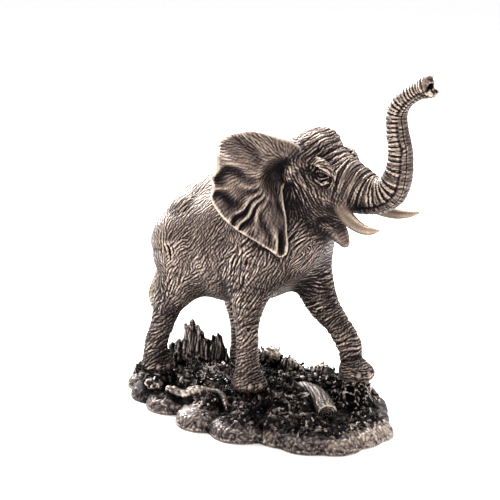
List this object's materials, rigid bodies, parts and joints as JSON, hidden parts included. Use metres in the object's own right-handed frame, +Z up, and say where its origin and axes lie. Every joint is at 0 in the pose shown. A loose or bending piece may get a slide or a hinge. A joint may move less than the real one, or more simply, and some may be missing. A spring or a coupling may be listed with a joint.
{
  "type": "elephant statue",
  "caption": "Bronze-finish table statue of a striding elephant with raised trunk, one forefoot on a stump, on a lobed base of rough ground.",
  "frame": {"origin": "centre of the base's flat underside", "axes": "+X the way the elephant walks, +Y to its left, +Z up"},
  "size_m": [0.233, 0.1461, 0.2456],
  "materials": {
    "figure_bronze": "antiqued bronze, satin, dry-brushed on the high spots",
    "ground_bronze": "antiqued dark bronze, satin, dry-brushed on the high spots"
  },
  "bodies": {
    "root": {"elephant": "figure_bronze", "ground_base": "ground_bronze"}
  },
  "joints": []
}
